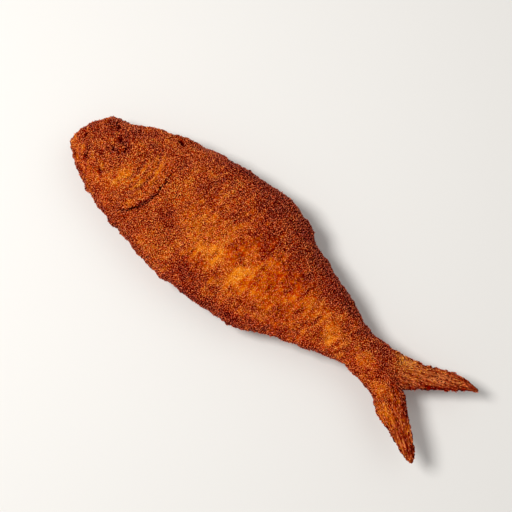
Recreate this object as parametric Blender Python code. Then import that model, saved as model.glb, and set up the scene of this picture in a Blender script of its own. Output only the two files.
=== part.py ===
"""A whole fish fried in a semolina crust, lying on its flank, as one solid.

The fish is laid out in millimetres in its own frame: x runs from the snout to the
tail tips, y from the belly to the back, z up through the two flanks from the middle
of the body. Outlines are given as shares of the fish's length, depth and thickness,
so that three driving sizes set the whole fish. The finished solid is in metres, with
its origin on the floor under the middle of its box.
"""

import math
from collections import namedtuple

import bmesh
import bpy
from mathutils import Matrix, Vector, noise

MM = 0.001

# Driving sizes, in millimetres.
TOTAL_LENGTH = 220.0
BODY_DEPTH = 64.4
BODY_THICKNESS = 30.0
RESTING_FLAT_DEPTH = 1.0

# Crust relief, in millimetres: broad crags, and pimples where coarse grains clump.
CRAG_SPACING = 11.0
CRAG_HEIGHT = 1.2
CRAG_OCTAVES = 3
PIMPLE_SPACING = 3.6
PIMPLE_HEIGHT = 0.9

# Head, in millimetres and degrees. The gill cover is a disc that ends at the gill slit,
# and the points along the mouth crowd towards the tip of the snout.
GILL_CENTRE = (21.2, 4.3)
GILL_RADIUS = 28.2
GILL_ARC = (-46.0, 18.0)
GILL_ARC_FADE = 22.0
GILL_COVER_RISE = 1.0
GILL_COVER_LIP = 2.0
GILL_SLIT_REACH = 28.9
GILL_SLIT_RADIUS = 0.8
GILL_SLIT_STEPS = 14
CHEEK_FOLD_SPACING = 5.5
CHEEK_FOLD_HEIGHT = 0.35
CHEEK_FOLD_START = 11.0
EYE_CENTRE = (24.2, 6.2)
EYE_RADIUS = 4.0
EYE_DEPTH = 1.3
SNOUT_TIP = (0.5, -1.4)
MOUTH_CORNER = (11.0, -3.0)
MOUTH_SLIT_RADIUS = 0.6
MOUTH_STEPS = 7
MOUTH_CROWDING = 1.5

# Tail fin, in millimetres.
FIN_RAY_COUNT = 4
FIN_RAY_HEIGHT = 0.3
FIN_CRUST_SHARE = 0.6
NICK_RADIUS = 0.9
NICK_SIDES = 5
NICK_CENTRES = ((207.6, 7.4), (212.6, 10.6), (217.0, 14.6))

# Section shape: a flank a little fuller than an ellipse, and heavier towards the back.
FLANK_FULLNESS = 0.86
BACK_HEAVINESS = 0.10

# Rings along and sides round each form, and how far its rings crowd towards its ends.
BODY_MESH = (82, 52)
LOBE_MESH = (20, 32)
RING_CROWDING = 0.5

SLAB_THICKNESS = 20.0
SHARP_EDGE_ANGLE = 40.0

# A form is a set of curves along the fish. Each curve is a list of knots: the first
# number is a share of the length; the second is a share of the depth for the back and
# belly edges, and of the thickness for the thickness and the lift.
Form = namedtuple("Form", "back belly thickness lift nose_radius tail_radius")

BODY = Form(
    back=(
        (0.000, 0.078), (0.018, 0.182), (0.045, 0.270), (0.087, 0.314),
        (0.170, 0.432), (0.254, 0.505), (0.380, 0.553), (0.455, 0.550),
        (0.515, 0.491), (0.551, 0.411), (0.630, 0.306), (0.714, 0.185),
        (0.752, 0.140), (0.786, 0.128), (0.845, 0.160),
    ),
    belly=(
        (0.000, -0.064), (0.045, -0.158), (0.129, -0.294), (0.212, -0.361),
        (0.317, -0.431), (0.380, -0.436), (0.467, -0.422), (0.515, -0.410),
        (0.551, -0.354), (0.630, -0.250), (0.714, -0.171), (0.759, -0.155),
        (0.845, -0.217),
    ),
    thickness=(
        (0.000, 0.24), (0.036, 0.55), (0.136, 0.86), (0.341, 1.00), (0.477, 0.92),
        (0.591, 0.67), (0.682, 0.48), (0.764, 0.35), (0.845, 0.24),
    ),
    lift=((0.000, 0.00), (0.682, 0.00), (0.845, 0.03)),
    nose_radius=4.0,
    tail_radius=5.0,
)
UPPER_LOBE = Form(
    back=(
        (0.790, 0.119), (0.825, 0.147), (0.875, 0.187), (0.930, 0.247),
        (0.961, 0.274), (1.000, 0.281),
    ),
    belly=(
        (0.790, -0.036), (0.850, -0.064), (0.873, -0.050), (0.895, 0.008),
        (0.922, 0.079), (0.966, 0.182), (1.000, 0.262),
    ),
    thickness=((0.790, 0.22), (0.845, 0.20), (0.875, 0.18), (0.940, 0.14), (1.000, 0.09)),
    lift=((0.790, 0.00), (0.875, -0.02), (1.000, -0.02)),
    nose_radius=3.0,
    tail_radius=2.2,
)
LOWER_LOBE = Form(
    back=(
        (0.790, 0.008), (0.850, -0.028), (0.873, -0.056), (0.895, -0.140),
        (0.920, -0.198), (0.937, -0.258), (0.960, -0.338), (0.972, -0.393),
    ),
    belly=(
        (0.790, -0.171), (0.823, -0.199), (0.858, -0.281), (0.891, -0.331),
        (0.921, -0.380), (0.957, -0.431), (0.972, -0.440),
    ),
    thickness=((0.790, 0.22), (0.845, 0.24), (0.875, 0.22), (0.940, 0.17), (0.972, 0.12)),
    lift=((0.790, 0.00), (0.820, 0.02), (0.845, 0.03), (0.875, 0.05), (0.972, 0.12)),
    nose_radius=3.0,
    tail_radius=2.4,
)


def smooth_curve(knots, along_size, value_size):
    """A function through the knots, in millimetres, with no kink between them."""
    places = [share * along_size for share, _ in knots]
    values = [share * value_size for _, share in knots]
    last = len(knots) - 1
    slopes = []
    for i in range(len(knots)):
        before, after = max(i - 1, 0), min(i + 1, last)
        slopes.append((values[after] - values[before]) / (places[after] - places[before]))

    def value_at(x):
        x = min(max(x, places[0]), places[-1])
        i = max(k for k in range(last) if places[k] <= x or k == 0)
        span = places[i + 1] - places[i]
        t = (x - places[i]) / span
        return (
            (2 * t**3 - 3 * t**2 + 1) * values[i]
            + (t**3 - 2 * t**2 + t) * span * slopes[i]
            + (3 * t**2 - 2 * t**3) * values[i + 1]
            + (t**3 - t**2) * span * slopes[i + 1]
        )

    return value_at


class Loft:
    """The smooth skin of one form, before any relief."""

    def __init__(self, form):
        self.start = form.back[0][0] * TOTAL_LENGTH
        self.end = form.back[-1][0] * TOTAL_LENGTH
        self.back = smooth_curve(form.back, TOTAL_LENGTH, BODY_DEPTH)
        self.belly = smooth_curve(form.belly, TOTAL_LENGTH, BODY_DEPTH)
        self.thickness = smooth_curve(form.thickness, TOTAL_LENGTH, BODY_THICKNESS)
        self.lift = smooth_curve(form.lift, TOTAL_LENGTH, BODY_THICKNESS)
        self.nose_radius = form.nose_radius
        self.tail_radius = form.tail_radius

    def rounding(self, x):
        """How far the section has opened at x: 0 at either end, 1 past the end's radius."""
        share = 1.0
        for run, radius in ((x - self.start, self.nose_radius), (self.end - x, self.tail_radius)):
            if run < radius:
                share *= math.sqrt(max(0.0, 1.0 - (1.0 - max(run, 0.0) / radius) ** 2))
        return share

    def point(self, x, angle):
        """The skin at x, with the angle measured from the upper flank towards the back."""
        share = self.rounding(x)
        middle = (self.back(x) + self.belly(x)) / 2
        half_depth = (self.back(x) - self.belly(x)) / 2 * share
        half_thickness = self.thickness(x) / 2 * share
        flank = math.copysign(abs(math.cos(angle)) ** FLANK_FULLNESS, math.cos(angle))
        heavier = 1.0 + BACK_HEAVINESS * math.sin(angle)
        y = middle + half_depth * math.sin(angle)
        z = self.lift(x) + half_thickness * flank * heavier
        return Vector((x, y, z))

    def turn_across(self, point):
        """Where a point lies from the belly edge, -90 degrees, to the back edge, 90."""
        low, high = self.belly(point.x), self.back(point.x)
        share = (point.y - low) / max(high - low, 1.0)
        return math.asin(min(max(2.0 * share - 1.0, -1.0), 1.0))


def smoothstep(low, high, value):
    t = min(max((value - low) / (high - low), 0.0), 1.0)
    return t * t * (3.0 - 2.0 * t)


def crust_relief(point):
    """Crags of the fried crust and the pimples of its coarse grains."""
    crags = noise.fractal(point / CRAG_SPACING, 1.0, 2.0, CRAG_OCTAVES)
    pimples = noise.noise(point / PIMPLE_SPACING)
    return CRAG_HEIGHT * crags + PIMPLE_HEIGHT * pimples


def head_relief(point):
    """The gill cover's proud edge, the folds of the cheek and the sunken eye."""
    out_x = point.x - GILL_CENTRE[0]
    out_y = point.y - GILL_CENTRE[1]
    reach = math.hypot(out_x, out_y)
    turn = math.degrees(math.atan2(out_y, out_x))
    on_arc = smoothstep(GILL_ARC[0] - GILL_ARC_FADE, GILL_ARC[0], turn)
    on_arc *= 1.0 - smoothstep(GILL_ARC[1], GILL_ARC[1] + GILL_ARC_FADE, turn)
    inside = 1.0 - smoothstep(GILL_RADIUS, GILL_RADIUS + GILL_COVER_LIP, reach)
    cover = smoothstep(GILL_RADIUS / 2, GILL_RADIUS - GILL_COVER_LIP, reach)
    folds = math.cos(math.tau * (GILL_RADIUS - reach) / CHEEK_FOLD_SPACING)
    folds *= smoothstep(CHEEK_FOLD_START, CHEEK_FOLD_START + CHEEK_FOLD_SPACING, reach)
    from_eye = math.hypot(point.x - EYE_CENTRE[0], point.y - EYE_CENTRE[1])
    eye = math.exp(-((from_eye / EYE_RADIUS) ** 2))
    gill_cover = on_arc * inside * (GILL_COVER_RISE * cover + CHEEK_FOLD_HEIGHT * folds)
    return gill_cover - EYE_DEPTH * eye


def body_relief(_, point):
    return crust_relief(point) + head_relief(point)


def fin_relief(loft, point):
    """Fin rays under a thin crust: ridges that run out along the lobe."""
    rays = math.cos(2.0 * FIN_RAY_COUNT * loft.turn_across(point))
    return FIN_CRUST_SHARE * crust_relief(point) + FIN_RAY_HEIGHT * rays


def new_collection(name):
    collection = bpy.data.collections.new(name)
    bpy.context.scene.collection.children.link(collection)
    return collection


def new_object(name, bm, collection):
    mesh = bpy.data.meshes.new(name)
    bm.to_mesh(mesh)
    bm.free()
    obj = bpy.data.objects.new(name, mesh)
    collection.objects.link(obj)
    return obj


def lofted(name, form, mesh_size, relief, collection):
    """A ball whose rings are drawn out into the form's sections, then given relief."""
    loft = Loft(form)
    rings, sides = mesh_size
    bm = bmesh.new()
    bmesh.ops.create_uvsphere(bm, u_segments=sides, v_segments=rings, radius=1.0)
    for vert in bm.verts:
        even = math.acos(min(max(-vert.co.z, -1.0), 1.0)) / math.pi
        crowded = (1.0 - math.cos(math.pi * even)) / 2
        along = (1.0 - RING_CROWDING) * even + RING_CROWDING * crowded
        x = loft.start + (loft.end - loft.start) * along
        vert.co = loft.point(x, math.atan2(vert.co.y, vert.co.x))
    bmesh.ops.recalc_face_normals(bm, faces=bm.faces)
    bm.normal_update()
    for vert in bm.verts:
        vert.co += vert.normal * relief(loft, vert.co)
    bmesh.ops.scale(bm, vec=(MM, MM, MM), verts=bm.verts)
    return new_object(name, bm, collection)


def skin_point(fish, x, y, side):
    """Where the crust lies over (x, y), on the upper flank for side 1, the lower for -1."""
    outside = Vector((x, y, side * BODY_THICKNESS)) * MM
    found, place, _, _ = fish.ray_cast(outside, Vector((0.0, 0.0, -side)))
    if not found:
        raise ValueError(f"there is no crust over ({x}, {y})")
    return place / MM


def tube_cutter(name, points, radius, collection):
    """A round groove cutter along the points, as a closed mesh."""
    curve = bpy.data.curves.new(name, "CURVE")
    curve.dimensions = "3D"
    curve.bevel_depth = radius * MM
    curve.bevel_resolution = 1
    curve.use_fill_caps = True
    spline = curve.splines.new("POLY")
    spline.points.add(len(points) - 1)
    for control, point in zip(spline.points, points):
        control.co = (*(point * MM), 1.0)
    guide = bpy.data.objects.new(f"{name}_guide", curve)
    bpy.context.scene.collection.objects.link(guide)
    graph = bpy.context.evaluated_depsgraph_get()
    bm = bmesh.new()
    bm.from_mesh(bpy.data.meshes.new_from_object(guide.evaluated_get(graph)))
    bmesh.ops.remove_doubles(bm, verts=bm.verts, dist=1e-6)
    bmesh.ops.recalc_face_normals(bm, faces=bm.faces)
    cutter = new_object(name, bm, collection)
    cutter.matrix_world = guide.matrix_world
    bpy.data.objects.remove(guide)


def gill_slit_cutters(fish, collection):
    """The slit behind the gill cover, along an arc over each flank."""
    for side, name in ((1, "upper_gill_slit"), (-1, "lower_gill_slit")):
        points = []
        for i in range(GILL_SLIT_STEPS + 1):
            turn = math.radians(GILL_ARC[0] + (GILL_ARC[1] - GILL_ARC[0]) * i / GILL_SLIT_STEPS)
            x = GILL_CENTRE[0] + GILL_SLIT_REACH * math.cos(turn)
            y = GILL_CENTRE[1] + GILL_SLIT_REACH * math.sin(turn)
            points.append(skin_point(fish, x, y, side))
        tube_cutter(name, points, GILL_SLIT_RADIUS, collection)


def mouth_cutter(fish, collection):
    """The closed mouth: a groove from one corner round the snout to the other."""
    upper, lower = [], []
    for i in range(MOUTH_STEPS):
        share = (1.0 - i / MOUTH_STEPS) ** MOUTH_CROWDING
        x = SNOUT_TIP[0] + (MOUTH_CORNER[0] - SNOUT_TIP[0]) * share
        y = SNOUT_TIP[1] + (MOUTH_CORNER[1] - SNOUT_TIP[1]) * share
        upper.append(skin_point(fish, x, y, 1))
        lower.insert(0, skin_point(fish, x, y, -1))
    tube_cutter("mouth_slit", upper + lower, MOUTH_SLIT_RADIUS, collection)


def fin_nick_cutters(collection):
    """Small bites out of the upper lobe's inner edge, where brittle fin broke off."""
    for i, (x, y) in enumerate(NICK_CENTRES):
        bm = bmesh.new()
        bmesh.ops.create_cone(
            bm, cap_ends=True, segments=NICK_SIDES, radius1=NICK_RADIUS * MM,
            radius2=NICK_RADIUS * MM, depth=BODY_THICKNESS * MM / 2,
        )
        bmesh.ops.translate(bm, vec=Vector((x, y, 0.0)) * MM, verts=bm.verts)
        new_object(f"fin_nick_{i}", bm, collection)


def floor_cutter(collection):
    """A slab that takes a thin slice off the lower flank, so that the fish rests flat."""
    thickest = max(BODY.thickness, key=lambda knot: knot[1])[0] * TOTAL_LENGTH
    lowest = Loft(BODY).point(thickest, math.pi).z
    bm = bmesh.new()
    bmesh.ops.create_cube(bm, size=1.0)
    size = Vector((2 * TOTAL_LENGTH, 2 * BODY_DEPTH, SLAB_THICKNESS))
    bmesh.ops.scale(bm, vec=size * MM, verts=bm.verts)
    middle = Vector((TOTAL_LENGTH / 2, 0.0, lowest + RESTING_FLAT_DEPTH - SLAB_THICKNESS / 2))
    bmesh.ops.translate(bm, vec=middle * MM, verts=bm.verts)
    new_object("floor_slab", bm, collection)


def apply_boolean(host, operation, collection):
    """Joins or cuts with the whole collection, applies it and removes what it used."""
    modifier = host.modifiers.new(operation.title(), "BOOLEAN")
    modifier.operation = operation
    modifier.operand_type = "COLLECTION"
    modifier.collection = collection
    modifier.solver = "EXACT"
    graph = bpy.context.evaluated_depsgraph_get()
    result = bpy.data.meshes.new_from_object(host.evaluated_get(graph))
    host.modifiers.clear()
    host.data = result
    for obj in list(collection.objects):
        bpy.data.objects.remove(obj)
    bpy.data.collections.remove(collection)


def stand_on_origin(host):
    """Moves the mesh so that the origin is under the middle of its box."""
    corners = [Vector(corner) for corner in host.bound_box]
    low = Vector([min(corner[axis] for corner in corners) for axis in range(3)])
    high = Vector([max(corner[axis] for corner in corners) for axis in range(3)])
    shift = Vector(((low.x + high.x) / 2, (low.y + high.y) / 2, low.z))
    host.data.transform(Matrix.Translation(-shift))


def crust_material():
    material = bpy.data.materials.new("semolina_crust")
    material.use_nodes = True
    shader = material.node_tree.nodes["Principled BSDF"]
    shader.inputs["Base Color"].default_value = (0.33, 0.09, 0.02, 1.0)
    shader.inputs["Roughness"].default_value = 0.7
    shader.inputs["Metallic"].default_value = 0.0
    return material


def main():
    for obj in list(bpy.data.objects):
        bpy.data.objects.remove(obj)

    fish = lofted("fried_fish", BODY, BODY_MESH, body_relief, new_collection("fried_fish_parts"))

    joined = new_collection("joined_pieces")
    lofted("upper_lobe", UPPER_LOBE, LOBE_MESH, fin_relief, joined)
    lofted("lower_lobe", LOWER_LOBE, LOBE_MESH, fin_relief, joined)
    apply_boolean(fish, "UNION", joined)

    cutters = new_collection("cutters")
    bpy.context.view_layer.update()
    gill_slit_cutters(fish, cutters)
    mouth_cutter(fish, cutters)
    fin_nick_cutters(cutters)
    floor_cutter(cutters)
    apply_boolean(fish, "DIFFERENCE", cutters)

    stand_on_origin(fish)
    fish.data.materials.clear()
    fish.data.materials.append(crust_material())
    fish.data.shade_smooth()
    fish.data.set_sharp_from_angle(angle=math.radians(SHARP_EDGE_ANGLE))


main()
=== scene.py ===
"""Looks of a whole ladyfish fried in a semolina crust.

The crust is a finer copy of the CAD solid, with the crags, gill slit, eye, mouth and fin
rays that its faces are too coarse for, and semolina grains of five kinds lie all over it.
Places on the fish are in millimetres in the fish's own plan: x runs from the snout to the
tail tips, and y from the belly to the back.
"""

import math
from collections import namedtuple

import bpy
import numpy as np
from bpy.props import FloatProperty, FloatVectorProperty, IntProperty, PointerProperty
from mathutils import Matrix, Vector, noise


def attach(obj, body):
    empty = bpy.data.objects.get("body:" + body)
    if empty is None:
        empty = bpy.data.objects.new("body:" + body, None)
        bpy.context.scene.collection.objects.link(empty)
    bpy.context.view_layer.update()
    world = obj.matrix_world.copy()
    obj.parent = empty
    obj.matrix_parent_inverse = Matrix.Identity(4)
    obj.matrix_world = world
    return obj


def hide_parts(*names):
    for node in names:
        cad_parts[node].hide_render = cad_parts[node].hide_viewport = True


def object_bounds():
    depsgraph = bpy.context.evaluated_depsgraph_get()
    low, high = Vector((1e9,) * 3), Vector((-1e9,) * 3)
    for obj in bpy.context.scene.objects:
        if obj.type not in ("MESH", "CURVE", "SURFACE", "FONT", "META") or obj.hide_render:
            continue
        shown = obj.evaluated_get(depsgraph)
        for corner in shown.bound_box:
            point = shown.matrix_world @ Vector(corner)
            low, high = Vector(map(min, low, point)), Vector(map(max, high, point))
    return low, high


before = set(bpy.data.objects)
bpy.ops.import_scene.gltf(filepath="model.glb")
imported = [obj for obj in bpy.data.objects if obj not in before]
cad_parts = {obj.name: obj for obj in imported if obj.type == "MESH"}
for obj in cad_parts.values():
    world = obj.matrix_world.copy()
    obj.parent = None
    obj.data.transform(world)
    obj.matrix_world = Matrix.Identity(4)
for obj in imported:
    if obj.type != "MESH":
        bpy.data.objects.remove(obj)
CAD_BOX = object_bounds()

bl_info = {
    "name": "Fried Ladyfish",
    "version": (1, 0, 0),
    "blender": (4, 5, 0),
    "location": "3D View > Sidebar > Ladyfish",
    "description": "Dresses the ladyfish solid with a fried semolina crust",
    "category": "Add Mesh",
}

MM = 0.001
SOLID = "fried_fish"
BODY = "root"

# The snout's tip and the spine's line in the frame, in millimetres.
SNOUT_X = CAD_BOX[0].x / MM
SPINE_Y = -3.81

# The gill cover is a disc round this place. Its slit runs from the throat to where it fades:
# degrees round the disc's middle, distance from it and half the slit's width. It fades where
# that is less than a small width, and a lip stands up in a band before it.
GILL_CENTRE = (21.2, 4.3)
GILL_SLIT = (
    (-52.0, 27.4, 0.0),
    (-44.0, 28.0, 0.45),
    (-36.0, 28.4, 0.55),
    (-28.0, 29.0, 0.9),
    (-22.0, 29.2, 0.55),
    (-9.0, 29.3, 0.5),
    (2.0, 29.0, 0.4),
    (12.0, 29.3, 0.25),
    (26.0, 29.4, 0.0),
)
GILL_WAVER = 0.25
GILL_WAVES = 34.0
GILL_NARROWEST = 0.3
GILL_FADES_AT = 0.4
GILL_LIP_HEIGHT = 0.6
GILL_LIP_BAND = ((-3.5, -1.0), (-0.8, 0.1))
GILL_LIP_FADES_AT = 0.5

# Folds of the gill cover: where they begin and end, as distances outside the slit and as
# degrees round the disc's middle.
CHEEK_FOLD_SPACING = 3.1
CHEEK_FOLD_SHIFT = 2.35
CHEEK_FOLD_BAND = ((-17.0, -13.0), (-5.5, -3.5))
CHEEK_FOLD_ARC = ((-42.0, -25.0), (25.0, 45.0))

EYE_CENTRE = (24.0, 6.8)
EYE_RADIUS = 1.6
EYE_HEIGHT = 0.45
EYE_RING_RADIUS = 3.3
EYE_RING_WIDTH = 1.0

# The mouth is a line from the snout's tip to its corner, darkened with painted shade a little wider
# than it is cut.
SNOUT_TIP = (0.0, -1.6)
MOUTH_CORNER = (11.0, -0.9)
MOUTH_WIDTH = 0.6
MOUTH_SHADE_WIDTH = 0.8

# Cracks in the crust, darkened with painted shade and short of grains: their two ends and their
# width.
Crack = namedtuple("Crack", "start end width")
CRACKS = [Crack(*row) for row in (
    # The nostril and the fold at the mouth's corner.
    ((5.8, 3.3), (6.2, 2.4), 0.8),
    (MOUTH_CORNER, (12.3, -5.6), 0.7),
    # Round the eye: above, before, below and behind it.
    ((20.3, 10.3), (24.0, 9.2), 0.8),
    ((20.8, 5.3), (21.6, 2.4), 0.6),
    ((22.6, 5.1), (23.6, 4.5), 0.7),
    ((26.3, 7.6), (27.0, 6.1), 0.6),
    # On the brow, the cheek and the shoulder.
    ((12.3, 15.0), (16.3, 14.2), 0.8),
    ((21.9, -6.5), (23.2, -7.4), 0.7),
    ((43.0, 26.2), (45.3, 25.4), 0.9),
)]

# The tail: where the body goes over into it, where the two lobes part and how their rays run,
# side by side on the upper lobe and together towards one place past the tip on the lower one.
# So far from that place, the lower rays are as far apart as the upper ones.
TAIL_START = (180.0, 190.0)
LOBES_PART = (186.0, -3.0)
UPPER_RAYS_TURN = 19.0
LOWER_RAYS_MEET = (226.0, -37.0)
LOWER_RAYS_APART_AT = 30.0
RAY_LENGTH = 12.0
RAY_SPACING = 1.2
RAY_SEED = 7.0

# The upper lobe's fin is bare past a wavering line through the crust's end, and the lower
# lobe's crust only thins out along its end. One gives way to the other over a strip of y.
CRUST_END = (183.5, 3.5)
CRUST_END_TURN = 37.0
CRUST_END_WAVER = 0.7
CRUST_END_WAVES = 1.3
CRUST_END_BLEND = 0.8
UPPER_FIN_EDGE = (-4.5, -3.0)
LOWER_CRUST_THINS = (190.0, 202.0)
LOWER_BARENESS = 0.7
BARE_FIN_DEPTH = 0.35

# What a detail does to the crust: how much browner it is there, and how far it stands out. The
# browner or lighter colour is painted shade in the sunken gill slit, eye ring, mouth and cracks,
# and painted light on the raised cheek folds and fin rays, with painted shade between them.
Detail = namedtuple("Detail", "browning height")
GILL_SLIT_DETAIL = Detail(0.85, -1.5)
CHEEK_FOLD_DETAIL = Detail(-0.14, 0.45)
EYE_RING_DETAIL = Detail(0.16, -0.80)
MOUTH_DETAIL = Detail(0.10, -0.30)
CRACK_DETAIL = Detail(0.5, -0.6)
FIN_RAY_DETAIL = Detail(-0.20, 0.45)

# How brown the crust is before its places and details change it, and how much of what the places
# add counts. Where it is steep it is darker with painted shade; a lump is browner and a pit
# darker with painted shade; a clump is lighter with painted light and a hollow darker with
# painted shade and oil.
USUAL_BROWNING = 0.575
PLACES_SHARE = 0.94
STEEP_SHADE = 0.24
SHADE_STEEPNESS = (0.25, 0.85)
LUMP_BROWNING_AND_PIT_SHADE = 0.25
CLUMP_LIGHT_AND_HOLLOW_SHADE = 0.45

# How far the crust's shade strays within half a millimetre, and how much more where it is gritty.
SPECKLE = 1.1
GRIT_SPECKLE = 0.8

# How much browner and how much higher it is between the finest fin rays than on them. The browner
# grooves are painted shade.
RAY_GROOVE_SHADE = 2.4
RAY_BUMP = -2.0

# How many of the grains are missing in slits and cracks, on the tail's end, where the crust is
# smooth and where the fin is bare.
MISSING_IN_CRACKS = 0.9
MISSING_ON_TAIL_END = 0.4
TAIL_END = (188.0, 200.0)
MISSING_WHERE_SMOOTH = 0.5
MISSING_ON_BARE_FIN = 0.4

# How high the crags and clumps are where the crust lies flat, against those where it is steep,
# and how much lower where the fin is bare.
FLAT_CRAGS = 0.6
CRAG_STEEPNESS = (0.4, 0.9)
BARE_FIN_LEVELLING = 0.7

# Small rags: how far they stand out on the tail and along the crust's edge, how far apart they
# are and the seed of their noise.
TAIL_RAGS = 0.4
EDGE_RAGS = 0.5
RAG_STEEPNESS = (0.5, 0.9)
RAG_SPACING = 1.8
RAG_SEED = 13.0

# Mottling all over the crust: how strong, how far apart and the seed of its noise.
MOTTLING = ((0.08, 7.0, 3.0), (0.06, 2.4, 5.0))

# Streaks of lighter and darker crust: how strong, which way they run, their length and width,
# and the seed of their noise.
Streaks = namedtuple("Streaks", "amount turn length width seed")
FACE_STREAKS = Streaks(0.34, -50.0, 5.0, 1.3, 11.0)
FACE_END = (20.0, 32.0)
FLANK_STREAKS = Streaks(0.22, 78.0, 7.0, 2.0, 17.0)
FLANK = ((55.0, 70.0), (160.0, 180.0))

# An oval place on the flank: its middle, half lengths along and across it, and the amount of
# whatever it adds, which falls to 0 round it. It is turned by so many degrees.
Place = namedtuple("Place", "x y length width amount turn", defaults=(0.0,))
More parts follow.
